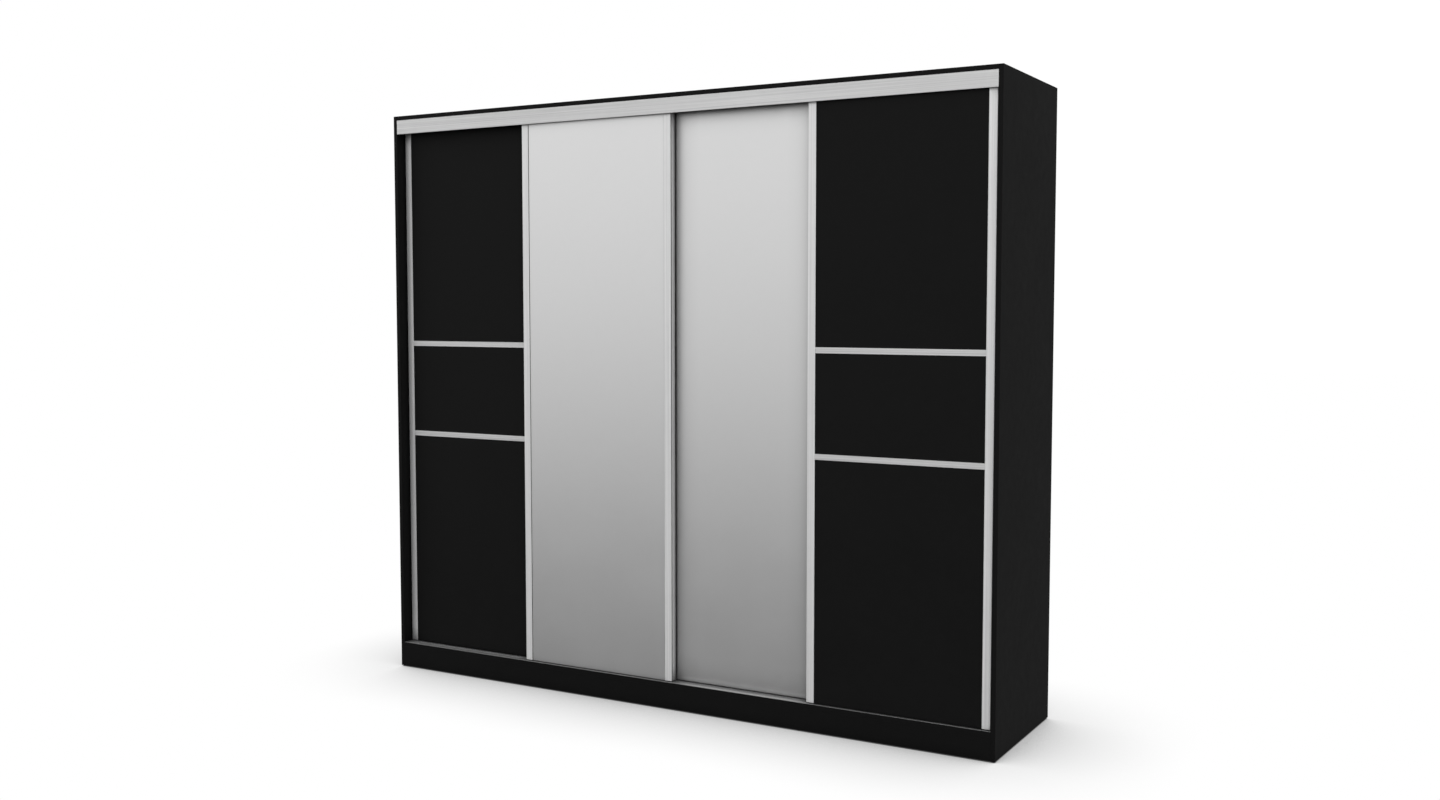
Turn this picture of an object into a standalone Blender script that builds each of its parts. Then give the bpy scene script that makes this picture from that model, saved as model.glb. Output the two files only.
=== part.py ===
"""Sliding door wardrobe: a laminated carcass, two tracks, and four doors that roll past each other.

Metres, +Z up. The front faces -Y and the origin is on the floor under the middle of the footprint.
A depth is measured back from the carcass's front edge, and a height is measured up from the floor.
Doors 1 and 3 run in the rear lane and doors 2 and 4 in the front lane, counted from the left.
"""

import math

import bmesh
import bpy
from mathutils import Vector

# Overall size of the carcass
WIDTH = 2.500
BODY_HEIGHT = 2.205
BODY_DEPTH = 0.575
GAP = 0.0003  # left between two pieces that touch

# Carcass boards
BOARD = 0.016
BACK_THICKNESS = 0.003
BACK_INSET = 0.001
PLINTH_HEIGHT = 0.078
PLINTH_BACK_INSET = 0.024
DIVIDER_OFFSET = 0.545
DIVIDER_TO_TRACK = 0.005

# Glides under the boards
FOOT_HEIGHT = 0.004
FOOT_RADIUS = 0.006
FOOT_CHAMFER = 0.001
FOOT_FRONT_DEPTH = 0.010

# Inside
SHELF_SETBACK = 0.012
TOP_SPACE = 0.340
LINEN_SHELF_HEIGHT = 0.980
ROD_DROP = 0.060
ROD_HEIGHT = 0.030
ROD_THICKNESS = 0.015
ROD_WALL = 0.0015
ROD_SIDES = 24

# Tracks, aluminium extrusions
TRACK_WALL = 0.0015
FASCIA_HEIGHT = 0.054
FASCIA_THICKNESS = 0.0047
LEG_HEIGHT = 0.040
BOTTOM_TRACK_SETBACK = 0.003
RIB_HEIGHT = 0.002
RIB_TO_WHEEL = 0.0005

# Doors: how they share the opening
FRONT_RECESS = 0.010
DOOR_CLEARANCE = 0.005
END_GAP = 0.005
SIDE_OVERLAP = 0.0492
CENTRE_OVERLAP = 0.0636
DOOR_LIFT = 0.0008
DOOR_HEAD_GAP = 0.014

# Door stiles: an open aluminium section that holds the panel on one side and is gripped on the other
STILE_WIDTH = 0.028
STILE_DEPTH = 0.028
STILE_WALL = 0.0018
STILE_WEB = 0.010
GRIP_LIP = 0.002
GRIP_WIDTH = 0.005
GRIP_DEPTH = 0.004

# Door filling
PANEL_THICKNESS = 0.010
MIRROR_THICKNESS = 0.004
STRIP_HEIGHT = 0.020
STRIP_WALL = 0.0015
LOWER_STRIP_HEIGHT = 0.8475
UPPER_STRIP_HEIGHT = 1.2080

# Door running gear
WHEEL_RADIUS = 0.015
WHEEL_SIDE_GAP = 0.0018
WHEEL_CROWN = 0.0005
WHEEL_INSET = 0.070
WHEEL_HEAD_GAP = 0.008
WHEEL_SIDES = 28
HUB_RADIUS = 0.0055
PIN_RADIUS = 0.002
PIN_CLEARANCE = 0.0005
RAIL_WALL = 0.0012
RAIL_INSET = 0.0005
RAIL_LIFT = 0.002

# Depths that follow
TOTAL_DEPTH = BODY_DEPTH + GAP + BACK_THICKNESS
LANE_PITCH = STILE_DEPTH + DOOR_CLEARANCE
LANE_DEPTHS = {"front": FRONT_RECESS, "rear": FRONT_RECESS + LANE_PITCH}
GROOVE_WIDTH = PANEL_THICKNESS + 2 * GAP
PANEL_DEPTH = STILE_WALL + GAP
RAIL_FRONT = STILE_WALL + GROOVE_WIDTH + STILE_WALL + GAP
RAIL_BACK = STILE_DEPTH - RAIL_INSET
WHEEL_PLANE = (RAIL_FRONT + RAIL_BACK) / 2
WHEEL_WIDTH = RAIL_BACK - RAIL_FRONT - 2 * (RAIL_WALL + WHEEL_SIDE_GAP)
MIDDLE_LEG_DEPTH = FRONT_RECESS + STILE_DEPTH + DOOR_CLEARANCE / 2
TRACK_BACK = MIDDLE_LEG_DEPTH + LANE_PITCH + TRACK_WALL / 2
INTERIOR_FRONT = TRACK_BACK + DIVIDER_TO_TRACK

# Heights that follow
BOTTOM_UNDERSIDE = FOOT_HEIGHT + PLINTH_HEIGHT + GAP
BOTTOM_TOP = BOTTOM_UNDERSIDE + BOARD
BODY_TOP = FOOT_HEIGHT + BODY_HEIGHT
TOP_UNDERSIDE = BODY_TOP - BOARD
SHELF_TOP = TOP_UNDERSIDE - TOP_SPACE
RUNNING_FACE = BOTTOM_TOP + GAP + TRACK_WALL
DOOR_BOTTOM = RUNNING_FACE + RIB_HEIGHT + DOOR_LIFT
DOOR_TOP = TOP_UNDERSIDE - GAP - TRACK_WALL - DOOR_HEAD_GAP
WHEEL_CENTRE = RUNNING_FACE + GAP + WHEEL_RADIUS
RAIL_TOP = WHEEL_CENTRE + WHEEL_RADIUS + WHEEL_HEAD_GAP + RAIL_WALL

# Widths that follow
INNER_HALF = WIDTH / 2 - BOARD
DOOR_WIDTH = (INNER_HALF - END_GAP + SIDE_OVERLAP + CENTRE_OVERLAP / 2) / 2
OUTER_DOOR_X = INNER_HALF - END_GAP - DOOR_WIDTH / 2
INNER_DOOR_X = DOOR_WIDTH / 2 - CENTRE_OVERLAP / 2
FOOT_X = (-(WIDTH - BOARD) / 2, -DIVIDER_OFFSET, DIVIDER_OFFSET, (WIDTH - BOARD) / 2)

FINISHES = {
    "black_laminate": ((0.009, 0.009, 0.010), 0.42, 0.0),
    "hardboard": ((0.020, 0.020, 0.022), 0.60, 0.0),
    "brushed_aluminium": ((0.56, 0.56, 0.57), 0.34, 1.0),
    "mirror_glass": ((0.80, 0.81, 0.82), 0.06, 1.0),
    "backing_board": ((0.30, 0.22, 0.15), 0.75, 0.0),
    "galvanised_steel": ((0.42, 0.43, 0.45), 0.40, 1.0),
    "nylon": ((0.72, 0.71, 0.66), 0.45, 0.0),
    "chromed_tube": ((0.66, 0.67, 0.69), 0.12, 1.0),
    "black_plastic": ((0.015, 0.015, 0.015), 0.50, 0.0),
}


def clear_scene():
    """Removes every object of the scene."""
    for obj in list(bpy.data.objects):
        bpy.data.objects.remove(obj, do_unlink=True)


def finish(name):
    """The named Principled BSDF material, made the first time it is asked for."""
    made = bpy.data.materials.get(name)
    if made is not None:
        return made
    colour, roughness, metallic = FINISHES[name]
    made = bpy.data.materials.new(name)
    made.use_nodes = True
    shader = made.node_tree.nodes["Principled BSDF"]
    shader.inputs["Base Color"].default_value = (*colour, 1.0)
    shader.inputs["Roughness"].default_value = roughness
    shader.inputs["Metallic"].default_value = metallic
    made.diffuse_color = (*colour, 1.0)
    return made


def y_at(depth):
    """World Y of a depth measured back from the carcass's front edge."""
    return depth - TOTAL_DEPTH / 2


def add_piece(name, shape, finish_name, origin, parent=None):
    """Makes an object of a closed bmesh drawn round its own origin, and frees the bmesh."""
    bmesh.ops.recalc_face_normals(shape, faces=shape.faces)
    mesh = bpy.data.meshes.new(name)
    shape.to_mesh(mesh)
    shape.free()
    mesh.materials.append(finish(finish_name))
    piece = bpy.data.objects.new(name, mesh)
    bpy.context.scene.collection.objects.link(piece)
    piece.location = Vector(origin)
    if parent is not None:
        piece.parent = parent
        piece.location -= parent.location
    return piece


def add_box(name, x_span, depth_span, z_span, finish_name, parent=None):
    """A board between two X values, two depths and two heights, with its origin at its centre."""
    low = Vector((x_span[0], y_at(depth_span[0]), z_span[0]))
    high = Vector((x_span[1], y_at(depth_span[1]), z_span[1]))
    shape = bmesh.new()
    bmesh.ops.create_cube(shape, size=1.0)
    bmesh.ops.scale(shape, vec=high - low, verts=shape.verts)
    return add_piece(name, shape, finish_name, (low + high) / 2, parent)


def prism(outline, length, place):
    """A closed solid of an outline drawn at each end of a length; place gives (a, b, along) as (x, y, z)."""
    shape = bmesh.new()
    start = [shape.verts.new(place(a, b, 0.0)) for a, b in outline]
    end = [shape.verts.new(place(a, b, length)) for a, b in outline]
    shape.faces.new(start)
    shape.faces.new(end)
    for i in range(len(outline)):
        j = (i + 1) % len(outline)
        shape.faces.new((start[i], start[j], end[j], end[i]))
    return shape


def along_x(a, b, along):
    """An outline in depth and height, carried along X."""
    return along, a, b


def lathe(profile, sides, place):
    """A turned solid from (along, radius) points, closed by a flat disc at both ends."""
    shape = bmesh.new()
    rings = []
    for along, radius in profile:
        ring = []
        for k in range(sides):
            angle = 2 * math.pi * k / sides
            ring.append(shape.verts.new(place(radius * math.cos(angle), radius * math.sin(angle), along)))
        rings.append(ring)
    shape.faces.new(rings[0])
    shape.faces.new(rings[-1])
    for near, far in zip(rings, rings[1:]):
        for k in range(sides):
            n = (k + 1) % sides
            shape.faces.new((near[k], near[n], far[n], far[k]))
    return shape


def shade_round(piece):
    """Smooth shading that keeps the edges of the ends and shoulders sharp."""
    piece.data.shade_smooth()
    piece.data.set_sharp_from_angle(angle=math.radians(35))


def carcass():
    """Sides, top, bottom, dividers, plinths and the thin back."""
    full_depth = (0, BODY_DEPTH)
    inside = (-INNER_HALF + GAP, INNER_HALF - GAP)
    for name, sign in (("side_panel_left", -1), ("side_panel_right", 1)):
        x_span = sorted((sign * WIDTH / 2, sign * INNER_HALF))
        add_box(name, x_span, full_depth, (FOOT_HEIGHT, BODY_TOP), "black_laminate")
    add_box("top_panel", inside, full_depth, (TOP_UNDERSIDE, BODY_TOP), "black_laminate")
    add_box("bottom_panel", inside, full_depth, (BOTTOM_UNDERSIDE, BOTTOM_TOP), "black_laminate")
    for name, sign in (("divider_left", -1), ("divider_right", 1)):
        x_span = (sign * DIVIDER_OFFSET - BOARD / 2, sign * DIVIDER_OFFSET + BOARD / 2)
        z_span = (BOTTOM_TOP + GAP, TOP_UNDERSIDE - GAP)
        add_box(name, x_span, (INTERIOR_FRONT, BODY_DEPTH), z_span, "black_laminate")
    plinth_heights = (FOOT_HEIGHT, FOOT_HEIGHT + PLINTH_HEIGHT)
    back_plinth_end = BODY_DEPTH - PLINTH_BACK_INSET
    add_box("plinth_front", inside, (0, BOARD), plinth_heights, "black_laminate")
    add_box("plinth_back", inside, (back_plinth_end - BOARD, back_plinth_end), plinth_heights, "black_laminate")
    half_back = WIDTH / 2 - BACK_INSET
    back_heights = (BOTTOM_UNDERSIDE, BODY_TOP - BACK_INSET)
    add_box("back_panel", (-half_back, half_back), (BODY_DEPTH + GAP, TOTAL_DEPTH), back_heights, "hardboard")


def feet():
    """Eight chamfered glides, nailed under the sides and under both plinths in line with the dividers."""
    profile = (
        (0.0, FOOT_RADIUS - FOOT_CHAMFER),
        (FOOT_CHAMFER, FOOT_RADIUS),
        (FOOT_HEIGHT - GAP, FOOT_RADIUS),
    )
    rows = {"front": FOOT_FRONT_DEPTH, "rear": BODY_DEPTH - PLINTH_BACK_INSET - BOARD / 2}
    for row, depth in rows.items():
        for number, x in enumerate(FOOT_X, start=1):
            shape = lathe(profile, 20, lambda a, b, along: (a, b, along))
            shade_round(add_piece(f"foot_{row}_{number}", shape, "black_plastic", (x, y_at(depth), 0)))


def compartments():
    """The X span between the boards on either side of each compartment."""
    near = DIVIDER_OFFSET - BOARD / 2
    far = DIVIDER_OFFSET + BOARD / 2
    return {"left": (-INNER_HALF, -far), "centre": (-near, near), "right": (far, INNER_HALF)}


def shelves():
    """One top shelf in each compartment, and a linen shelf on the right."""
    depth_span = (INTERIOR_FRONT + SHELF_SETBACK, BODY_DEPTH)
    heights = [(name, f"top_shelf_{name}", SHELF_TOP) for name in compartments()]
    heights.append(("right", "linen_shelf", LINEN_SHELF_HEIGHT))
    for compartment, name, top in heights:
        low, high = compartments()[compartment]
        add_box(name, (low + GAP, high - GAP), depth_span, (top - BOARD, top), "black_laminate")


def oval(height, thickness):
    """An outline with straight sides and half-round ends, as (depth, height) points."""
    half = ROD_SIDES // 2
    radius = thickness / 2
    straight = height / 2 - radius
    points = []
    for sign in (1, -1):
        for k in range(half):
            angle = math.pi * k / (half - 1)
            points.append((sign * radius * math.cos(angle), sign * (straight + radius * math.sin(angle))))
    return points


def hanging_rods():
    """Oval tubes across the left and centre compartments, below the top shelf."""
    height = SHELF_TOP - BOARD - ROD_DROP
    depth = (INTERIOR_FRONT + BODY_DEPTH) / 2
    outer = oval(ROD_HEIGHT, ROD_THICKNESS)
    inner = oval(ROD_HEIGHT - 2 * ROD_WALL, ROD_THICKNESS - 2 * ROD_WALL)
    for name in ("left", "centre"):
        low, high = compartments()[name]
        half = (high - low) / 2 - GAP
        shape = bmesh.new()
        loops = [
            [shape.verts.new((x, a, b)) for a, b in outline]
            for outline, x in ((outer, -half), (outer, half), (inner, half), (inner, -half))
        ]
        for near, far in zip(loops, loops[1:] + loops[:1]):
            for k in range(len(near)):
                n = (k + 1) % len(near)
                shape.faces.new((near[k], near[n], far[n], far[k]))
        origin = ((low + high) / 2, y_at(depth), height)
        shade_round(add_piece(f"hanging_rod_{name}", shape, "chromed_tube", origin))


def fascia():
    """The brushed strip that hides the top track."""
    z_span = (TOP_UNDERSIDE - GAP - FASCIA_HEIGHT, TOP_UNDERSIDE - GAP)
    x_span = (-INNER_HALF + GAP, INNER_HALF - GAP)
    add_box("fascia", x_span, (0, FASCIA_THICKNESS), z_span, "brushed_aluminium")


def top_track():
    """A web under the top panel with three legs, which make two downward lanes."""
    front = FASCIA_THICKNESS + GAP
    legs = (
        (front, front + TRACK_WALL),
        (MIDDLE_LEG_DEPTH - TRACK_WALL / 2, MIDDLE_LEG_DEPTH + TRACK_WALL / 2),
        (TRACK_BACK - TRACK_WALL, TRACK_BACK),
    )
    outline = [(y_at(TRACK_BACK), 0.0), (y_at(front), 0.0)]
    for i, (near, far) in enumerate(legs):
        if i > 0:
            outline.append((y_at(near), -TRACK_WALL))
        outline.append((y_at(near), -LEG_HEIGHT))
        outline.append((y_at(far), -LEG_HEIGHT))
        if i < len(legs) - 1:
            outline.append((y_at(far), -TRACK_WALL))
    half = INNER_HALF - GAP
    shape = prism(outline, 2 * half, along_x)
    add_piece("top_track", shape, "brushed_aluminium", (-half, 0, TOP_UNDERSIDE - GAP))


def bottom_track():
    """A thin plate on the bottom panel, with two ribs that guide the wheels of each lane."""
    reach = WHEEL_WIDTH / 2 + RIB_TO_WHEEL
    outline = [(y_at(BOTTOM_TRACK_SETBACK), 0.0), (y_at(BOTTOM_TRACK_SETBACK), TRACK_WALL)]
    for lane_depth in LANE_DEPTHS.values():
        wheel_depth = lane_depth + WHEEL_PLANE
        for near in (wheel_depth - reach - TRACK_WALL, wheel_depth + reach):
            far = near + TRACK_WALL
            outline.append((y_at(near), TRACK_WALL))
            outline.append((y_at(near), TRACK_WALL + RIB_HEIGHT))
            outline.append((y_at(far), TRACK_WALL + RIB_HEIGHT))
            outline.append((y_at(far), TRACK_WALL))
    outline += [(y_at(TRACK_BACK), TRACK_WALL), (y_at(TRACK_BACK), 0.0)]
    half = INNER_HALF - GAP
    shape = prism(outline, 2 * half, along_x)
    add_piece("bottom_track", shape, "brushed_aluminium", (-half, 0, BOTTOM_TOP + GAP))


def door_frame(name, x, lane):
    """The empty that a door's pieces hang from, on the line that the door slides along."""
    frame = bpy.data.objects.new(name, None)
    bpy.context.scene.collection.objects.link(frame)
    frame.location = (x, y_at(LANE_DEPTHS[lane] + WHEEL_PLANE), WHEEL_CENTRE)
    return frame


def stile_outline():
    """Points from the outer edge (0) inwards and from the face (0) backwards."""
    groove_back = STILE_WALL + GROOVE_WIDTH
    grip_back = GRIP_LIP + GRIP_WIDTH
    web = STILE_WEB - STILE_WALL
    return (
        (0, 0),
        (STILE_WIDTH, 0),
        (STILE_WIDTH, STILE_WALL),
        (STILE_WEB, STILE_WALL),
        (STILE_WEB, groove_back),
        (STILE_WIDTH, groove_back),
        (STILE_WIDTH, groove_back + STILE_WALL),
        (STILE_WEB, groove_back + STILE_WALL),
        (STILE_WEB, STILE_DEPTH),
        (web, STILE_DEPTH),
        (web, grip_back + STILE_WALL),
        (STILE_WALL, grip_back + STILE_WALL),
        (STILE_WALL, STILE_DEPTH),
        (0, STILE_DEPTH),
        (0, grip_back),
        (GRIP_DEPTH, grip_back),
        (GRIP_DEPTH, GRIP_LIP),
        (0, GRIP_LIP),
    )


def stiles(name, x, face, parent):
    """The two upright edge sections, mirror images of each other."""
    for side, sign in (("left", 1), ("right", -1)):
        shape = prism(
            stile_outline(), DOOR_TOP - DOOR_BOTTOM, lambda a, b, along, sign=sign: (sign * a, b, along)
        )
        origin = (x - sign * DOOR_WIDTH / 2, y_at(face), DOOR_BOTTOM)
        add_piece(f"{name}_stile_{side}", shape, "brushed_aluminium", origin, parent)


def filling_span(x):
    """The X span of whatever sits in the grooves of both stiles."""
    half = DOOR_WIDTH / 2 - STILE_WEB - GAP
    return x - half, x + half


def panels_and_strips(name, x, face, parent):
    """Three laminated panels, joined edge to edge by two H-shaped strips."""
    centres = (DOOR_BOTTOM + LOWER_STRIP_HEIGHT, DOOR_BOTTOM + UPPER_STRIP_HEIGHT)
    to_panel = STRIP_WALL / 2 + GAP
    spans = {
        "lower": (DOOR_BOTTOM, centres[0] - to_panel),
        "middle": (centres[0] + to_panel, centres[1] - to_panel),
        "upper": (centres[1] + to_panel, DOOR_TOP),
    }
    depth_span = (face + PANEL_DEPTH, face + PANEL_DEPTH + PANEL_THICKNESS)
    for place, z_span in spans.items():
        add_box(f"{name}_panel_{place}", filling_span(x), depth_span, z_span, "black_laminate", parent)
    front = PANEL_DEPTH - GAP
    back = PANEL_DEPTH + PANEL_THICKNESS + GAP
    tall = STRIP_HEIGHT / 2
    thin = STRIP_WALL / 2
    outline = [(front - STRIP_WALL, -tall), (front - STRIP_WALL, tall), (front, tall), (front, thin)]
    outline += [(back, thin), (back, tall), (back + STRIP_WALL, tall), (back + STRIP_WALL, -tall)]
    outline += [(back, -tall), (back, -thin), (front, -thin), (front, -tall)]
    half = DOOR_WIDTH / 2 - STILE_WIDTH - GAP
    for place, height in zip(("lower", "upper"), centres):
        origin = (x - half, y_at(face), height)
        shape = prism(outline, 2 * half, along_x)
        add_piece(f"{name}_strip_{place}", shape, "brushed_aluminium", origin, parent)


def mirror_and_board(name, x, face, parent):
    """A full-height mirror with a board behind it, both in the stiles' grooves."""
    front = face + PANEL_DEPTH
    board_front = front + MIRROR_THICKNESS + GAP
    z_span = (DOOR_BOTTOM, DOOR_TOP)
    add_box(f"{name}_mirror", filling_span(x), (front, front + MIRROR_THICKNESS), z_span, "mirror_glass", parent)
    board_depths = (board_front, front + PANEL_THICKNESS)
    add_box(f"{name}_board", filling_span(x), board_depths, z_span, "backing_board", parent)


def wheel_positions(x):
    """X of the left and right wheels of a door."""
    half = DOOR_WIDTH / 2 - WHEEL_INSET
    return {"left": x - half, "right": x + half}


def pin_hole(x, depth, parent):
    """A hidden cutter for the hole that a wheel's pin turns in."""
    radius = PIN_RADIUS + PIN_CLEARANCE
    reach = STILE_DEPTH
    shape = lathe(((-reach, radius), (reach, radius)), 20, lambda a, b, along: (a, along, b))
    cutter = add_piece("pin_hole", shape, "galvanised_steel", (x, y_at(depth), WHEEL_CENTRE), parent)
    cutter.hide_render = True
    cutter.display_type = "WIRE"
    return cutter


def bottom_rail(name, x, face, parent):
    """A steel channel, open below, behind the foot of the door. The wheels' pins go through its two walls."""
    bottom = DOOR_BOTTOM + RAIL_LIFT
    inner_front = RAIL_FRONT + RAIL_WALL
    inner_back = RAIL_BACK - RAIL_WALL
    outline = (
        (RAIL_FRONT, bottom),
        (RAIL_FRONT, RAIL_TOP),
        (RAIL_BACK, RAIL_TOP),
        (RAIL_BACK, bottom),
        (inner_back, bottom),
        (inner_back, RAIL_TOP - RAIL_WALL),
        (inner_front, RAIL_TOP - RAIL_WALL),
        (inner_front, bottom),
    )
    start, end = filling_span(x)
    shape = prism(outline, end - start, along_x)
    rail = add_piece(f"{name}_bottom_rail", shape, "galvanised_steel", (start, y_at(face), 0), parent)
    for wheel_x in wheel_positions(x).values():
        cut = rail.modifiers.new("pin_hole", "BOOLEAN")
        cut.operation = "DIFFERENCE"
        cut.solver = "EXACT"
        cut.object = pin_hole(wheel_x, face + WHEEL_PLANE, parent)


def wheels(name, x, face, parent):
    """Nylon wheels with their pins, turned round Y, each with its origin on its own axis."""
    half_pin = (RAIL_BACK - RAIL_FRONT) / 2
    half_hub = half_pin - RAIL_WALL - GAP
    half_rim = WHEEL_WIDTH / 2
    tread = WHEEL_RADIUS - WHEEL_CROWN
    profile = (
        (-half_pin, PIN_RADIUS),
        (-half_hub, PIN_RADIUS),
        (-half_hub, HUB_RADIUS),
        (-half_rim, HUB_RADIUS),
        (-half_rim, tread),
        (-half_rim / 2, WHEEL_RADIUS),
        (half_rim / 2, WHEEL_RADIUS),
        (half_rim, tread),
        (half_rim, HUB_RADIUS),
        (half_hub, HUB_RADIUS),
        (half_hub, PIN_RADIUS),
        (half_pin, PIN_RADIUS),
    )
    for side, wheel_x in wheel_positions(x).items():
        shape = lathe(profile, WHEEL_SIDES, lambda a, b, along: (a, along, b))
        origin = (wheel_x, y_at(face + WHEEL_PLANE), WHEEL_CENTRE)
        shade_round(add_piece(f"{name}_wheel_{side}", shape, "nylon", origin, parent))


def door(name, x, lane, filling):
    """One door with its filling, stiles and running gear."""
    face = LANE_DEPTHS[lane]
    parent = door_frame(name, x, lane)
    stiles(name, x, face, parent)
    filling(name, x, face, parent)
    bottom_rail(name, x, face, parent)
    wheels(name, x, face, parent)


clear_scene()
carcass()
feet()
shelves()
hanging_rods()
fascia()
top_track()
bottom_track()
door("door_1", -OUTER_DOOR_X, "rear", panels_and_strips)
door("door_2", -INNER_DOOR_X, "front", mirror_and_board)
door("door_3", INNER_DOOR_X, "rear", mirror_and_board)
door("door_4", OUTER_DOOR_X, "front", panels_and_strips)
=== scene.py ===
import math

import bmesh
import bpy
import numpy as np
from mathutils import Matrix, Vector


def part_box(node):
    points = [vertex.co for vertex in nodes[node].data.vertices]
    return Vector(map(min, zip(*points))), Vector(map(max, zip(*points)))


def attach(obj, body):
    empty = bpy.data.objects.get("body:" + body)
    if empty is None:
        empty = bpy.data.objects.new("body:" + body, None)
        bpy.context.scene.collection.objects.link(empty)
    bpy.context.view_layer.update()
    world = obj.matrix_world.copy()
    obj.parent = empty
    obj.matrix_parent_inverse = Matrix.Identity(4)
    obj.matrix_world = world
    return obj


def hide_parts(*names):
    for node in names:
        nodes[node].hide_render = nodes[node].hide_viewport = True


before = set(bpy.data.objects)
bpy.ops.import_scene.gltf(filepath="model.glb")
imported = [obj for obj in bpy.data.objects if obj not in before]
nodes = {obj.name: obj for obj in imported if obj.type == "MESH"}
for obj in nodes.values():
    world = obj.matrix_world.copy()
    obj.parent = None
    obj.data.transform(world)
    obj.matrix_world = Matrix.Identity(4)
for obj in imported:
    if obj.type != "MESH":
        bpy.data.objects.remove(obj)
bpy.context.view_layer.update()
scene = bpy.context.scene

# ---------------------------------------------------------------------------------------------
# Camera, not part of the wardrobe. It stands in front of the right-hand end at eye height, about
# five metres off, and looks a little down.
lens = bpy.data.cameras.new("camera")
lens.sensor_width = 36.0
lens.lens = 35.3626
lens.clip_start = 0.1
lens.clip_end = 200.0
camera = bpy.data.objects.new("camera", lens)
camera.location = (2.68025, -4.57762, 1.45606)
camera.rotation_euler = (math.radians(90 - 3.7603), 0.0, math.radians(29.6497))
scene.collection.objects.link(camera)
scene.camera = camera

# ---------------------------------------------------------------------------------------------
# Carcass boards and the doors' dark panels: chipboard faced with matt black melamine and banded
# with the same black on every cut edge. The sides, top, bottom, dividers and plinths are pulled
# together by cam connectors, and the shelves lie on pins.


def wire(tree, kind, feeds=None, **settings):
    """A new node in a tree: settings are its own properties, feeds its inputs as values or sockets."""
    node = tree.nodes.new(kind)
    for name, value in settings.items():
        setattr(node, name, value)
    for key, value in (feeds or {}).items():
        if isinstance(value, bpy.types.NodeSocket):
            tree.links.new(value, node.inputs[key])
        else:
            node.inputs[key].default_value = value
    return node


def new_group(name, takes, gives):
    """An empty shader group and its two ends. Its sockets are numbers, or vectors where takes says so."""
    tree = bpy.data.node_groups.new(name, "ShaderNodeTree")
    for socket, value in takes.items():
        kind = "NodeSocketVector" if isinstance(value, tuple) else "NodeSocketFloat"
        made = tree.interface.new_socket(socket, in_out="INPUT", socket_type=kind)
        made.default_value = value
    for socket in gives:
        tree.interface.new_socket(socket, in_out="OUTPUT", socket_type="NodeSocketFloat")
    start = tree.nodes.new("NodeGroupInput")
    end = tree.nodes.new("NodeGroupOutput")
    return tree, start.outputs, end.inputs


def math_node(tree, operation, *values, clamp=False):
    """The output of a Math node over the values or sockets given."""
    feeds = dict(enumerate(values))
    return wire(tree, "ShaderNodeMath", feeds, operation=operation, use_clamp=clamp).outputs[0]


def spread(tree, value, low, high, to_low=0.0, to_high=1.0):
    """A value moved from the range low..high on to another range, and held at that range's ends."""
    ends = {"From Min": low, "From Max": high, "To Min": to_low, "To Max": to_high}
    return wire(tree, "ShaderNodeMapRange", {"Value": value, **ends}).outputs[0]


def clouds(tree, place, scale, detail, roughness=0.5):
    """Cloudy noise from 0 to 1, with the scale in clouds to a metre and the detail in octaves."""
    feeds = {"Vector": place, "Scale": scale, "Detail": detail, "Roughness": roughness}
    return wire(tree, "ShaderNodeTexNoise", feeds).outputs["Fac"]


def edge_wear_group():
    """Mask of rubbed corners: one minus the cosine between the true normal and a normal rounded over
    the radius, broken up by noise so that the wear comes and goes along an edge."""
    tree, given, out = new_group("edge_wear", {"Radius": 0.0015, "Amount": 1.0}, ["Mask"])
    rounded = wire(tree, "ShaderNodeBevel", {"Radius": given["Radius"]}, samples=4)
    true = wire(tree, "ShaderNodeNewGeometry")
    dot = wire(
        tree,
        "ShaderNodeVectorMath",
        {0: rounded.outputs["Normal"], 1: true.outputs["Normal"]},
        operation="DOT_PRODUCT",
    )
    bend = math_node(tree, "SUBTRACT", 1.0, dot.outputs["Value"], clamp=True)
    place = wire(tree, "ShaderNodeTexCoord").outputs["Object"]
    broken = spread(tree, clouds(tree, place, 34.0, 5.0, 0.65), 0.42, 0.66)
    rubbed = math_node(tree, "MULTIPLY", bend, 3.2, clamp=True)
    worn = math_node(tree, "MULTIPLY", rubbed, broken)
    tree.links.new(math_node(tree, "MULTIPLY", worn, given["Amount"], clamp=True), out["Mask"])
    return tree


def uneven_group():
    """Slow unevenness over a whole piece, near 1 on average: clouds two hands' widths across and
    others a few centimetres across, as handling and cleaning leave on any finish."""
    tree, given, out = new_group("uneven", {"Swing": 0.1}, ["Factor"])
    place = wire(tree, "ShaderNodeTexCoord").outputs["Object"]
    wide = clouds(tree, place, 4.5, 2.0)
    narrow = clouds(tree, place, 31.0, 3.0)
    both = math_node(tree, "ADD", wide, narrow)
    centred = math_node(tree, "SUBTRACT", both, 1.0)
    swing = math_node(tree, "MULTIPLY", centred, given["Swing"])
    tree.links.new(math_node(tree, "ADD", swing, 1.0), out["Factor"])
    return tree


def painted_recess_shade_group():
    """Painted shade in recesses, for multiplying into a base colour: the open share of the surroundings
    within a reach, spread from Deep..Open on to Least..1. It stands in for the dimming of a wide soft
    gloss that sees the sides of the hollow and not the room."""
    takes = {"Reach": 0.06, "Deep": 0.5, "Open": 0.88, "Least": 0.3}
    tree, given, out = new_group("painted_recess_shade", takes, ["Factor"])
    around = wire(tree, "ShaderNodeAmbientOcclusion", {"Distance": given["Reach"]}, samples=12)
    factor = spread(tree, around.outputs["AO"], given["Deep"], given["Open"], given["Least"])
    tree.links.new(factor, out["Factor"])
    return tree


edge_wear = edge_wear_group()
uneven = uneven_group()
painted_recess_shade = painted_recess_shade_group()


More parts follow.
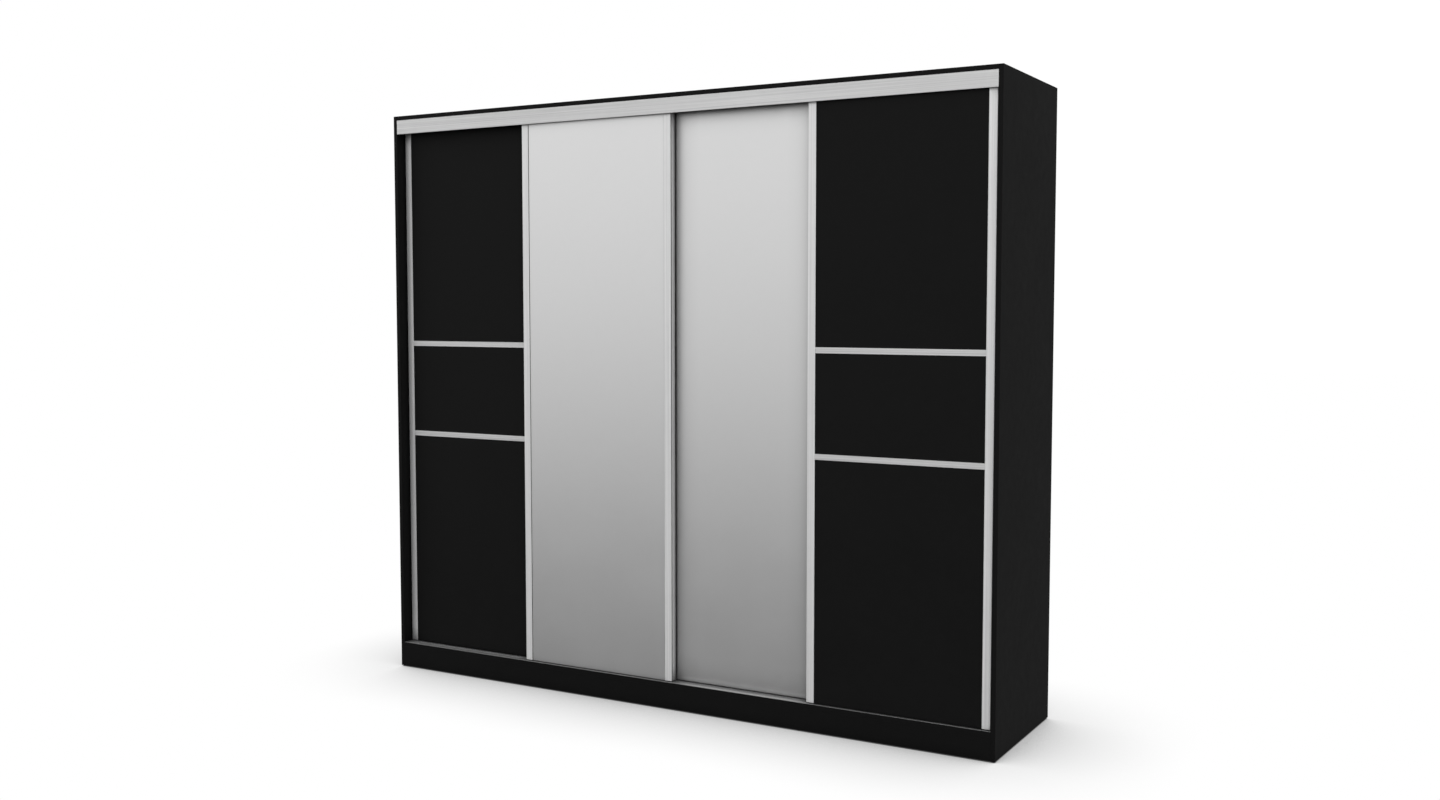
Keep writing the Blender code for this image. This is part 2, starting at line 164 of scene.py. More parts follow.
def new_material(name):
    """An empty material with its tree, its Principled shader and its Object coordinates."""
    made = bpy.data.materials.new(name)
    made.use_nodes = True
    tree = made.node_tree
    tree.nodes.clear()
    shader = wire(tree, "ShaderNodeBsdfPrincipled")
    wire(tree, "ShaderNodeOutputMaterial", {"Surface": shader.outputs["BSDF"]})
    place = wire(tree, "ShaderNodeTexCoord").outputs["Object"]
    return made, tree, shader, place


def use_group(tree, group, **values):
    """A group placed in a material, with its own values."""
    node = wire(tree, "ShaderNodeGroup", node_tree=group)
    for key, value in values.items():
        node.inputs[key].default_value = value
    return node.outputs


def mix_colour(tree, share, low, high):
    """Colour between two colours, by a share from 0 to 1."""
    node = wire(tree, "ShaderNodeMix", data_type="RGBA")
    for socket, value in ((node.inputs[0], share), (node.inputs[6], low), (node.inputs[7], high)):
        if isinstance(value, bpy.types.NodeSocket):
            tree.links.new(value, socket)
        else:
            socket.default_value = value
    return node.outputs[2]


def shade(tree, colour, factor):
    """A colour made lighter or darker by a factor that varies over the surface."""
    node = wire(tree, "ShaderNodeVectorMath", {0: colour, "Scale": factor}, operation="SCALE")
    return node.outputs[0]


def bump(tree, height, distance, strength=1.0):
    """The normal of a surface raised by the height times the distance."""
    feeds = {"Height": height, "Distance": distance, "Strength": strength}
    return wire(tree, "ShaderNodeBump", feeds).outputs["Normal"]


def black_laminate(name, tint):
    """Melamine pressed with a fine pearl: rounded beads well under a millimetre, shallow and matt."""
    made, tree, shader, place = new_material(name)
    beads = wire(
        tree,
        "ShaderNodeTexVoronoi",
        {"Vector": place, "Scale": 1100.0, "Smoothness": 0.6},
        feature="SMOOTH_F1",
    )
    specks = clouds(tree, place, 420.0, 3.0)
    worn = use_group(tree, edge_wear, Radius=0.0014, Amount=0.8)["Mask"]
    tone = use_group(tree, uneven, Swing=0.22)["Factor"]
    speckled = spread(tree, specks, 0.25, 0.75, 0.93, 1.07)
    # Painted shade: the colour is darkened where neighbouring parts close in round a point.
    depth = use_group(tree, painted_recess_shade, Reach=0.06, Deep=0.45, Open=0.85, Least=0.55)["Factor"]
    varied = math_node(tree, "MULTIPLY", math_node(tree, "MULTIPLY", tone, speckled), depth)
    colour = mix_colour(tree, worn, shade(tree, (tint, tint, tint), varied), (0.022, 0.022, 0.023, 1.0))
    tree.links.new(colour, shader.inputs["Base Color"])
    rough = math_node(tree, "MULTIPLY", tone, 0.55)
    polished = math_node(tree, "MULTIPLY", worn, 0.12)
    tree.links.new(math_node(tree, "SUBTRACT", rough, polished), shader.inputs["Roughness"])
    shader.inputs["Specular IOR Level"].default_value = 0.08
    height = math_node(tree, "ADD", beads.outputs["Distance"], specks)
    tree.links.new(bump(tree, height, 0.00003, 0.5), shader.inputs["Normal"])
    return made


def finish_nodes(names, material):
    """Gives CAD nodes one material in every slot."""
    for name in names:
        mesh = nodes[name].data
        mesh.materials.clear()
        mesh.materials.append(material)


def ease_edges(names, width, segments=2):
    """Breaks the sharp corners of CAD nodes: their loose triangles are welded, then bevelled."""
    for name in names:
        weld = nodes[name].modifiers.new("weld", "WELD")
        weld.merge_threshold = 0.00001
        eased = nodes[name].modifiers.new("ease", "BEVEL")
        eased.width = width
        eased.segments = segments
        eased.limit_method = "ANGLE"
        eased.angle_limit = math.radians(40)


carcass_laminate = black_laminate("carcass_laminate", 0.0068)
panel_laminate = black_laminate("panel_laminate", 0.0079)
boards = ["side_panel_left", "side_panel_right", "top_panel", "bottom_panel", "linen_shelf"]
boards += ["divider_left", "divider_right", "plinth_front", "plinth_back"]
boards += [f"top_shelf_{place}" for place in ("left", "centre", "right")]
door_panels = [f"door_{n}_panel_{place}" for n in (1, 4) for place in ("lower", "middle", "upper")]
finish_nodes(boards, carcass_laminate)
finish_nodes(door_panels, panel_laminate)
ease_edges(boards + door_panels, 0.0004)

# ---------------------------------------------------------------------------------------------
# Cam connectors and screw caps. Zinc cams, turned into the underside of the top near its ends, pull
# the sides to it. Long screws go through the top into the dividers, under black plastic caps.


def turned(profile, centre, axis, sides=24):
    """Rings of a round piece: for each (along, radius) of the profile a circle of that radius round
    the axis, moved to the centre. The two parameters are the place in the profile and the angle."""
    along, radius = np.array(profile, float).T
    angle = np.linspace(0.0, 2 * np.pi, sides, endpoint=False)
    a = radius[:, None] * np.cos(angle)
    b = radius[:, None] * np.sin(angle)
    c = np.broadcast_to(along[:, None], a.shape)
    order = {"x": (c, a, b), "y": (b, c, a), "z": (a, b, c)}[axis]
    return np.stack(order, axis=-1) + np.array(centre, float)


def soften(outline, radius, steps=4):
    """The outline with each corner cut back by the radius and rounded: a quadratic curve from one
    cut to the next that has the old corner as its middle control point."""
    corner = np.array(outline, float)
    before = np.roll(corner, 1, axis=0) - corner
    after = np.roll(corner, -1, axis=0) - corner
    start = corner + before * (radius / np.linalg.norm(before, axis=1))[:, None]
    end = corner + after * (radius / np.linalg.norm(after, axis=1))[:, None]
    t = np.linspace(0.0, 1.0, steps)[None, :, None]
    curve = (1 - t) ** 2 * start[:, None] + 2 * t * (1 - t) * corner[:, None] + t**2 * end[:, None]
    return curve.reshape(-1, 2)


def rectangle(width, height):
    """Corners of a rectangle round zero."""
    a, b = width / 2, height / 2
    return [(-a, -b), (a, -b), (a, b), (-a, b)]


def carried(outline, stations, centre, axis):
    """Rings of a straight moulding: the (a, b) outline at each station along the axis. A station is
    (along, scale), and the scale shrinks the outline for rounded ends."""
    along, scale = np.array(stations, float).T
    a, b = np.array(outline, float).T
    a, b = scale[:, None] * a, scale[:, None] * b
    c = np.broadcast_to(along[:, None], a.shape)
    order = {"x": (c, a, b), "y": (a, c, b), "z": (a, b, c)}[axis]
    return np.stack(order, axis=-1) + np.array(centre, float)


def skin(rings, ring_round=False):
    """Points and faces over rings of equal length: a quad between each two neighbours, and either a
    flat cap on the first and last ring or, for a hollow piece, the last joined to the first."""
    count, size = rings.shape[:2]
    ring = np.arange(count if ring_round else count - 1)[:, None]
    near, far = ring * size, (ring + 1) % count * size
    k = np.arange(size)[None, :]
    n = (k + 1) % size
    faces = np.stack([near + k, near + n, far + n, far + k], axis=-1).reshape(-1, 4).tolist()
    if not ring_round:
        faces += [list(range(size)), list(range((count - 1) * size, count * size))]
    return rings.reshape(-1, 3), faces


def add_piece(name, shells, material, body):
    """One mesh of several closed shells, with its normals outwards and its sharp edges kept, that rides
    on a body and takes the material given."""
    points, faces, start = [], [], 0
    for shell_points, shell_faces in shells:
        points.append(shell_points)
        faces += [[start + corner for corner in face] for face in shell_faces]
        start += len(shell_points)
    mesh = bpy.data.meshes.new(name)
    mesh.from_pydata(np.concatenate(points).tolist(), [], faces)
    shape = bmesh.new()
    shape.from_mesh(mesh)
    bmesh.ops.recalc_face_normals(shape, faces=shape.faces)
    shape.to_mesh(mesh)
    shape.free()
    mesh.shade_smooth()
    mesh.set_sharp_from_angle(angle=math.radians(32))
    mesh.materials.append(material)
    made = bpy.data.objects.new(name, mesh)
    scene.collection.objects.link(made)
    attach(made, body)
    return made


def galvanised_steel():
    """Zinc-coated steel: flat crystals a few millimetres wide, each with its own tone and gloss."""
    made, tree, shader, place = new_material("galvanised_steel")
    spangle = wire(tree, "ShaderNodeTexVoronoi", {"Vector": place, "Scale": 260.0, "Randomness": 1.0})
    tone = wire(tree, "ShaderNodeSeparateXYZ", {0: spangle.outputs["Color"]}).outputs["X"]
    worn = use_group(tree, edge_wear, Radius=0.0008, Amount=0.6)["Mask"]
    base = shade(tree, (0.46, 0.47, 0.49), spread(tree, tone, 0.0, 1.0, 0.86, 1.08))
    tree.links.new(mix_colour(tree, worn, base, (0.62, 0.63, 0.64, 1.0)), shader.inputs["Base Color"])
    tree.links.new(spread(tree, tone, 0.0, 1.0, 0.34, 0.50), shader.inputs["Roughness"])
    shader.inputs["Metallic"].default_value = 1.0
    tree.links.new(bump(tree, spangle.outputs["Distance"], 0.00002, 0.5), shader.inputs["Normal"])
    return made


def black_plastic():
    """Moulded black plastic with a fine spark-eroded grain and slightly polished corners."""
    made, tree, shader, place = new_material("black_plastic")
    grain = clouds(tree, place, 1900.0, 2.0)
    tone = use_group(tree, uneven, Swing=0.2)["Factor"]
    worn = use_group(tree, edge_wear, Radius=0.0007, Amount=0.7)["Mask"]
    base = shade(tree, (0.012, 0.012, 0.012), tone)
    tree.links.new(mix_colour(tree, worn, base, (0.035, 0.035, 0.035, 1.0)), shader.inputs["Base Color"])
    tree.links.new(math_node(tree, "MULTIPLY", tone, 0.5), shader.inputs["Roughness"])
    shader.inputs["Specular IOR Level"].default_value = 0.3
    tree.links.new(bump(tree, grain, 0.00002, 0.6), shader.inputs["Normal"])
    return made


steel = galvanised_steel()
plastic = black_plastic()
outer_low, outer_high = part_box("side_panel_right")
board = outer_high.x - outer_low.x
inner_half = outer_low.x
front_edge, rear_edge = outer_low.y, outer_high.y
board_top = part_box("top_panel")[1].z
board_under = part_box("top_panel")[0].z
divider_x = (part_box("divider_right")[0].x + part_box("divider_right")[1].x) / 2

CAM_RADIUS = 0.0075
CAM_PROUD = 0.0003
CAM_FROM_SIDE = 0.034
CAM_FROM_FRONT = 0.115
CAM_FROM_REAR = 0.060
DRIVE_RADIUS = 0.0030
cam_profile = [(0.0, CAM_RADIUS), (-0.6 * CAM_PROUD, CAM_RADIUS), (-CAM_PROUD, CAM_RADIUS - 0.0004)]
cam_profile += [(-CAM_PROUD, DRIVE_RADIUS + 0.0004), (-0.00005, DRIVE_RADIUS), (-0.00005, 0.0005)]
cam_depths = (front_edge + CAM_FROM_FRONT, rear_edge - CAM_FROM_REAR)
cams = []
for cam_x in (-inner_half + CAM_FROM_SIDE, inner_half - CAM_FROM_SIDE):
    for cam_y in cam_depths:
        cams.append(skin(turned(cam_profile, (cam_x, cam_y, board_under), "z", 28)))
add_piece("cam_connectors", cams, steel, "carcass")

CAP_RADIUS = 0.0065
CAP_PROUD = 0.0011
cap_profile = [(0.0, CAP_RADIUS), (0.0005, CAP_RADIUS), (0.0009, CAP_RADIUS - 0.0006)]
cap_profile += [(CAP_PROUD, 0.0015), (CAP_PROUD, 0.0003)]
caps = []
for cap_x in (-divider_x, divider_x):
    for cap_y in cam_depths:
        caps.append(skin(turned(cap_profile, (cap_x, cap_y, board_top), "z", 28)))
add_piece("screw_caps", caps, plastic, "carcass")

# ---------------------------------------------------------------------------------------------
# Back: one sheet of black lacquered hardboard with plastic cover strips over the dividers, held by
# small round-headed nails along the sides, top, bottom and dividers.


def hardboard():
    """Lacquered hardboard: the faint square imprint of the pressing screen over clouded fibres."""
    made, tree, shader, place = new_material("hardboard")
    fibres = clouds(tree, place, 55.0, 6.0, 0.7)
    clouded = spread(tree, fibres, 0.0, 1.0, 0.75, 1.3)
    tone = use_group(tree, uneven, Swing=0.25)["Factor"]
    base = shade(tree, (0.016, 0.016, 0.017), math_node(tree, "MULTIPLY", clouded, tone))
    worn = use_group(tree, edge_wear, Radius=0.0012, Amount=1.0)["Mask"]
    tree.links.new(mix_colour(tree, worn, base, (0.07, 0.05, 0.035, 1.0)), shader.inputs["Base Color"])
    tree.links.new(math_node(tree, "MULTIPLY", tone, 0.5), shader.inputs["Roughness"])
    shader.inputs["Specular IOR Level"].default_value = 0.25
    parts = wire(tree, "ShaderNodeSeparateXYZ", {0: place})
    waves = 3900.0  # radians to a metre, which is a screen wire each 1.6 mm
    across = math_node(tree, "SINE", math_node(tree, "MULTIPLY", parts.outputs["X"], waves))
    upward = math_node(tree, "SINE", math_node(tree, "MULTIPLY", parts.outputs["Z"], waves))
    screen = math_node(tree, "MULTIPLY", across, upward)
    height = math_node(tree, "ADD", math_node(tree, "MULTIPLY", screen, 0.3), fibres)
    tree.links.new(bump(tree, height, 0.00005, 0.5), shader.inputs["Normal"])
    return made


finish_nodes(["back_panel"], hardboard())
back_low, back_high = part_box("back_panel")

STRIP_WIDTH = 0.020
STRIP_PROUD = 0.0008
STRIP_EASE = 0.0004
STRIP_SHORT = 0.001
strips = []
for strip_x in (-divider_x, divider_x):
    cover = soften(rectangle(STRIP_WIDTH, 2 * STRIP_PROUD), 0.0005, 4)
    middle_z = (back_low.z + back_high.z) / 2
    half = (back_high.z - back_low.z) / 2 - STRIP_SHORT
    stations = [(-half, 0.9), (-half + STRIP_EASE, 1.0), (half - STRIP_EASE, 1.0), (half, 0.9)]
    strips.append(skin(carried(cover, stations, (strip_x, back_high.y, middle_z), "z")))
add_piece("back_cover_strips", strips, plastic, "carcass")

NAIL_RADIUS = 0.0021
NAIL_PITCH = 0.140
NAIL_FROM_DIVIDER = 0.0135
nail_profile = [(0.0, NAIL_RADIUS), (0.0003, 0.95 * NAIL_RADIUS)]
nail_profile += [(0.0006, 0.6 * NAIL_RADIUS), (0.0007, 0.15 * NAIL_RADIUS)]


def nail_row(start, end):
    """Nail places evenly spaced from one (x, z) to another, about a nail pitch apart."""
    start, end = np.array(start, float), np.array(end, float)
    count = int(round(np.linalg.norm(end - start) / NAIL_PITCH)) + 1
    return start + (end - start) * np.linspace(0.0, 1.0, count)[:, None]


side_line = inner_half + board / 2
low_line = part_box("bottom_panel")[0].z + board / 2
high_line = board_under + board / 2 - 0.001
strip_line = divider_x + NAIL_FROM_DIVIDER
uprights = (-side_line, side_line, -strip_line, strip_line)
rows = [nail_row((x, low_line), (x, high_line)) for x in uprights]
first_level = side_line - NAIL_PITCH
rows += [nail_row((-first_level, z), (first_level, z)) for z in (low_line, high_line)]
nails = []
for nail_x, nail_z in np.concatenate(rows):
    nails.append(skin(turned(nail_profile, (nail_x, back_high.y, nail_z), "y", 10)))
add_piece("back_nails", nails, steel, "carcass")

# ---------------------------------------------------------------------------------------------
# Feet: glides moulded in black plastic and nailed under the upright boards, which lift the plinth
# just clear of the floor.
feet = [f"foot_{row}_{number}" for row in ("front", "rear") for number in (1, 2, 3, 4)]
finish_nodes(feet, plastic)

# ---------------------------------------------------------------------------------------------
# Shelf pins: turned steel pegs with a collar, pushed into holes in the upright boards, one under
# each corner of a loose shelf.
PIN_RADIUS = 0.0025
COLLAR_RADIUS = 0.0036
PIN_REACH = 0.009
PIN_FROM_EDGE = 0.055
PIN_BELOW_SHELF = 0.0037
pin_profile = [(0.0, COLLAR_RADIUS), (0.0010, COLLAR_RADIUS), (0.0012, PIN_RADIUS)]
pin_profile += [(PIN_REACH - 0.0006, PIN_RADIUS), (PIN_REACH, PIN_RADIUS - 0.0006)]
pins = []
for shelf in ("top_shelf_left", "top_shelf_centre", "top_shelf_right", "linen_shelf"):
    low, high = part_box(shelf)
    for pin_x, way in ((low.x, 1), (high.x, -1)):
        for pin_y in (low.y + PIN_FROM_EDGE, high.y - PIN_FROM_EDGE):
            profile = [(way * along, radius) for along, radius in pin_profile]
            pins.append(skin(turned(profile, (pin_x, pin_y, low.z - PIN_BELOW_SHELF), "x", 20)))
add_piece("shelf_pins", pins, steel, "carcass")

# ---------------------------------------------------------------------------------------------
# Hanging rods: oval steel tube, chromed, that drops into end sockets of black plastic. Two screws
# fix each socket to its board.


def chromed_tube():
    """Polished chrome, clouded in places by the faint marks that hangers rub into it."""
    made, tree, shader, place = new_material("chromed_tube")
    marks = clouds(tree, place, 60.0, 6.0, 0.7)
    tone = use_group(tree, uneven, Swing=0.05)["Factor"]
    tree.links.new(shade(tree, (0.72, 0.73, 0.75), tone), shader.inputs["Base Color"])
    tree.links.new(spread(tree, marks, 0.0, 1.0, 0.06, 0.22), shader.inputs["Roughness"])
    shader.inputs["Metallic"].default_value = 1.0
    return made


def oval(height, thickness, sides=32):
    """Outline with straight sides and half-round ends, as (depth, height) points: the height of each
    end's arc is shifted by half the straight part."""
    angle = np.linspace(0.0, 2 * np.pi, sides, endpoint=False) + np.pi / sides
    straight = (height - thickness) / 2
    across = thickness / 2 * np.cos(angle)
    upward = thickness / 2 * np.sin(angle) + np.sign(np.sin(angle)) * straight
    return np.stack([across, upward], axis=-1)


rods = ["hanging_rod_left", "hanging_rod_centre"]
finish_nodes(rods, chromed_tube())
SOCKET_WALL = 0.0022
SOCKET_REACH = 0.013
FLANGE_REACH = 0.003
FLANGE_SPREAD = 0.020
SOCKET_FIT = 0.0006
SOCKET_SCREW_OFF = 0.02183
screw_dome = [(0.0029, 0.0030), (0.0036, 0.0026), (0.0039, 0.0008)]
sockets = []
for rod in rods:
    low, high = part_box(rod)
    middle = (low + high) / 2
    tall, thick = high.z - low.z, high.y - low.y
    rim = SOCKET_FIT + 2 * SOCKET_WALL
    loops = [(0.0, SOCKET_FIT), (0.0, FLANGE_SPREAD), (FLANGE_REACH - 0.0008, FLANGE_SPREAD)]
    loops += [(FLANGE_REACH, FLANGE_SPREAD - 0.002), (FLANGE_REACH, rim)]
    loops += [(SOCKET_REACH - 0.0006, rim), (SOCKET_REACH, rim - 0.0010), (SOCKET_REACH, SOCKET_FIT)]
    for end_x, way in ((low.x, 1), (high.x, -1)):
        rings = []
        for along, grown in loops:
            outline = oval(tall + grown, thick + grown)
            rings.append(np.column_stack([np.full(len(outline), way * along), outline]))
        sockets.append(skin(np.stack(rings) + np.array([end_x, middle.y, middle.z]), ring_round=True))
        head = [(way * along, radius) for along, radius in screw_dome]
        for screw_z in (middle.z - SOCKET_SCREW_OFF, middle.z + SOCKET_SCREW_OFF):
            sockets.append(skin(turned(head, (end_x, middle.y, screw_z), "x", 16)))
add_piece("rod_sockets", sockets, plastic, "carcass")

# ---------------------------------------------------------------------------------------------
# Fascia, tracks, door stiles and dividing strips: aluminium extrusions, satin anodised and finely
# brushed along their length.


def brushing_group():
    """Fine lines along one axis: noise stretched by the Stretch vector, in a coarse and a fine octave."""
    tree, given, out = new_group("brushing", {"Stretch": (2.0, 2.0, 2.0)}, ["Lines", "Scratches"])
    place = wire(tree, "ShaderNodeTexCoord").outputs["Object"]
    feeds = {0: place, 1: given["Stretch"]}
    drawn = wire(tree, "ShaderNodeVectorMath", feeds, operation="MULTIPLY").outputs[0]
    tree.links.new(clouds(tree, drawn, 1.0, 3.0, 0.6), out["Lines"])
    tree.links.new(clouds(tree, drawn, 5.3, 4.0, 0.6), out["Scratches"])
    return tree


brushing = brushing_group()


def brushed_aluminium(name, stretch, tint, metal, contrast):
    """Satin anodised metal: lines along the extrusion vary its tone, its gloss and its height."""
    made, tree, shader, place = new_material(name)
    lines = use_group(tree, brushing, Stretch=stretch)
    tone = use_group(tree, uneven, Swing=0.05)["Factor"]
    worn = use_group(tree, edge_wear, Radius=0.0008, Amount=0.5)["Mask"]
    streak = spread(tree, lines["Lines"], 0.30, 0.70, 1.0 - contrast, 1.0 + contrast)
    # Painted shade: the colour is darkened strongly where neighbouring parts close in round a point.
    depth = use_group(tree, painted_recess_shade, Reach=0.06, Deep=0.45, Open=0.85, Least=0.24)["Factor"]
    varied = math_node(tree, "MULTIPLY", math_node(tree, "MULTIPLY", streak, tone), depth)
    colour = mix_colour(tree, worn, shade(tree, (tint, tint, tint), varied), (0.88, 0.88, 0.88, 1.0))
    tree.links.new(colour, shader.inputs["Base Color"])
    tree.links.new(spread(tree, lines["Scratches"], 0.2, 0.8, 0.48, 0.60), shader.inputs["Roughness"])
    shader.inputs["Metallic"].default_value = metal
    tree.links.new(bump(tree, lines["Scratches"], 0.00002, 0.6), shader.inputs["Normal"])
    return made


# One aluminium in three copies: the level and track copies have darker tints than the upright one. This
# is painted shade for the smaller amount of light that falls on level faces and into the tracks.
upright_metal = brushed_aluminium("brushed_aluminium_upright", (300.0, 300.0, 1.2), 0.90, 0.50, 0.10)
level_metal_painted_darker = brushed_aluminium("brushed_aluminium_level_painted_darker", (0.9, 190.0, 190.0), 0.765, 0.62, 0.13)
track_metal_painted_darker = brushed_aluminium("brushed_aluminium_track_painted_darker", (1.6, 420.0, 420.0), 0.55, 0.90, 0.06)
level_pieces = ["fascia"]
level_pieces += [f"door_{n}_strip_{place}" for n in (1, 4) for place in ("lower", "upper")]
doors = ("door_1", "door_2", "door_3", "door_4")
upright_pieces = [f"{door}_stile_{side}" for door in doors for side in ("left", "right")]
finish_nodes(level_pieces, level_metal_painted_darker)
finish_nodes(["top_track", "bottom_track"], track_metal_painted_darker)
finish_nodes(upright_pieces, upright_metal)
ease_edges(level_pieces + upright_pieces + ["top_track", "bottom_track"], 0.00025)

# ---------------------------------------------------------------------------------------------
# Track screws: zinc-coated and countersunk, with a round drive. They go down through the bottom
# track between its lanes and along its rear, and up into the top along the middle of each lane.
SCREW_RADIUS = 0.0032
SCREW_PITCH = 0.48
SCREW_FROM_REAR = 0.006
TRACK_WALL = 0.0015
screw_profile = [(0.0, SCREW_RADIUS), (0.00025, SCREW_RADIUS), (0.00045, 0.0026), (0.00050, 0.0017)]
screw_profile += [(0.0001, 0.0013), (0.0001, 0.0002)]
track_low, track_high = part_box("bottom_track")
front_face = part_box("door_4_stile_left")
rear_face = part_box("door_3_stile_left")
between_lanes = (front_face[1].y + rear_face[0].y) / 2
screw_xs = np.arange(-2.0, 2.5) * SCREW_PITCH
plate_top = track_low.z + TRACK_WALL
bottom_screws = [
    skin(turned(screw_profile, (x, y, plate_top), "z", 20))
    for x in screw_xs
    for y in (between_lanes, track_high.y - SCREW_FROM_REAR)
]
top_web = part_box("top_track")[1].z - TRACK_WALL
lane_middles = [(box[0].y + box[1].y) / 2 for box in (front_face, rear_face)]
hanging = [(-along, radius) for along, radius in screw_profile]
top_screws = [skin(turned(hanging, (x, y, top_web), "z", 20)) for x in screw_xs for y in lane_middles]
add_piece("bottom_track_screws", bottom_screws, steel, "carcass")
add_piece("top_track_screws", top_screws, steel, "carcass")

# ---------------------------------------------------------------------------------------------
# End buffers: soft strips of black plastic with rounded corners, stuck to the side panels where the
# outer stiles come to rest.
BUFFER_THICKNESS = 0.0042
BUFFER_WIDTH = 0.012
BUFFER_HEIGHT = 0.060
BUFFER_FROM_FOOT = 0.14
BUFFER_FROM_HEAD = 0.16
BUFFER_BACK = 0.004
buffer_heights = [front_face[0].z + BUFFER_FROM_FOOT, front_face[1].z - BUFFER_FROM_HEAD]
buffers = []
for sign, box in ((-1, rear_face), (1, front_face)):
    for buffer_z in buffer_heights:
        outline = soften(rectangle(BUFFER_WIDTH, BUFFER_HEIGHT), 0.004, 5)
        crown = BUFFER_THICKNESS - 0.0008
        stations = [(0.0, 1.0), (-sign * crown, 1.0), (-sign * BUFFER_THICKNESS, 0.88)]
        place_at = (sign * inner_half, (box[0].y + box[1].y) / 2 + BUFFER_BACK, buffer_z)
        buffers.append(skin(carried(outline, stations, place_at, "x")))
add_piece("end_buffers", buffers, plastic, "carcass")

# ---------------------------------------------------------------------------------------------
# Gaskets: soft black beads pressed between each stile and its panel or mirror, seen as a thin dark
# line, and the same along the dividing strips of the panelled doors.
BEAD_WIDTH = 0.0010
BEAD_PROUD = 0.0011


def bead(turn):
    """Outline of a bead that stands on a face and leans on a lip: a quarter round over the width and
    the height, turned to the side that the lip is on."""
    angle = np.linspace(0.0, np.pi / 2, 6)
    along = turn * BEAD_WIDTH * np.cos(angle)
    out = -BEAD_PROUD * np.sin(angle)
    return np.vstack([np.column_stack([along, out]), [[0.0, 0.0]]])


for door in doors:
    filling = "mirror" if f"{door}_mirror" in nodes else "panel_lower"
    face_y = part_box(f"{door}_{filling}")[0].y
    left_low, left_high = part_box(f"{door}_stile_left")
    right_low, right_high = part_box(f"{door}_stile_right")
    tall = left_high.z - left_low.z
    middle_z = (left_high.z + left_low.z) / 2
    stations = [(-tall / 2, 1.0), (tall / 2, 1.0)]
    beads = []
    for lip_x, turn in ((left_high.x, 1), (right_low.x, -1)):
        beads.append(skin(carried(bead(turn), stations, (lip_x, face_y, middle_z), "z")))
    if filling != "mirror":
        for strip in ("lower", "upper"):
            low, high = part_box(f"{door}_strip_{strip}")
            half = (high.x - low.x) / 2
            for lip_z, turn in ((low.z, -1), (high.z, 1)):
                outline = bead(turn)[:, ::-1]
                centre = ((low.x + high.x) / 2, face_y, lip_z)
                beads.append(skin(carried(outline, [(-half, 1.0), (half, 1.0)], centre, "x")))
    add_piece(f"{door}_gaskets", beads, plastic, door)

# ---------------------------------------------------------------------------------------------
# Brush seals: black synthetic pile cut into tufts. It stands behind the front doors' stiles where
# they pass the rear doors, and on the outer stiles towards the side panels, to keep dust out.
PILE_LENGTH = 0.0040
EDGE_PILE_LENGTH = 0.0038
PILE_HALF = 0.0016
TUFT_PITCH = 0.0024
BRUSH_INSET = 0.0056
EDGE_BRUSH_INSET = 0.0070
BRUSH_FROM_FOOT = 0.004
BRUSH_FROM_HEAD = 0.012


def brush_pile():
    """Black synthetic pile: fine strands that differ in tone, with no gloss to speak of."""
    made, tree, shader, place = new_material("brush_pile")
    strands = clouds(tree, place, 1400.0, 3.0)
    tone = spread(tree, strands, 0.0, 1.0, 0.4, 1.9)
    tree.links.new(shade(tree, (0.010, 0.010, 0.010), tone), shader.inputs["Base Color"])
    shader.inputs["Roughness"].default_value = 0.9
    shader.inputs["Specular IOR Level"].default_value = 0.05
    tree.links.new(bump(tree, strands, 0.0002, 0.8), shader.inputs["Normal"])
    return made


def brush(low_z, high_z, root, reach, across, seed):
    """A brush up the height: at each tuft the outline is a narrow wedge from the root to the reach,
    whose tip is longer or shorter and leans a little, by seeded noise, and every other tuft is
    narrowed so that the pile looks cut into tufts. Root, reach and across are (x, y) vectors."""
    count = int((high_z - low_z) / TUFT_PITCH)
    height = np.linspace(low_z, high_z, count)
    noise = np.random.default_rng(seed).uniform(-1.0, 1.0, (2, count))
    length = 1.0 + 0.05 * noise[0]
    lean = 0.0004 * noise[1]
    narrow = np.where(np.arange(count) % 2 == 0, 1.0, 0.72)
    share = np.array([0.0, 0.12, 0.55, 0.95, 1.0, 0.95, 0.55, 0.12, 0.0])
    width = np.array([1.0, 0.8, 0.95, 0.8, 0.0, -0.8, -0.95, -0.8, -1.0])
    out = share[None, :] * length[:, None]
    side = width[None, :] * PILE_HALF * narrow[:, None] + lean[:, None] * share[None, :]
    plan = np.array(root) + out[..., None] * np.array(reach) + side[..., None] * np.array(across)
    rings = np.concatenate([plan, np.broadcast_to(height[:, None, None], (*out.shape, 1))], axis=-1)
    return skin(rings)


pile = brush_pile()
seals = (
    ("door_2", "right", "back"),
    ("door_2", "left", "back"),
    ("door_4", "left", "back"),
    ("door_1", "left", "edge"),
    ("door_4", "right", "edge"),
)
for seed, (door, side, mounted) in enumerate(seals):
    low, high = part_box(f"{door}_stile_{side}")
    inwards = 1 if side == "left" else -1
    outer_x = low.x if side == "left" else high.x
    if mounted == "back":
        root = (outer_x + BRUSH_INSET * inwards, high.y + 0.0003)
        reach, across = (0.0, PILE_LENGTH), (1.0, 0.0)
    else:
        root = (outer_x - 0.0002 * inwards, high.y - EDGE_BRUSH_INSET)
        reach, across = (-EDGE_PILE_LENGTH * inwards, 0.0), (0.0, 1.0)
    foot, head = low.z + BRUSH_FROM_FOOT, high.z - BRUSH_FROM_HEAD
    tufts = brush(foot, head, root, reach, across, seed)
    add_piece(f"{door}_brush_{side}", [tufts], pile, door)

# ---------------------------------------------------------------------------------------------
# Top guides: nylon slippers with rounded ends, screwed to the head of each stile, which keep the
# door upright between the legs of its lane.
GUIDE_LENGTH = 0.025
GUIDE_THICKNESS = 0.006
GUIDE_CLEARANCE = 0.0005


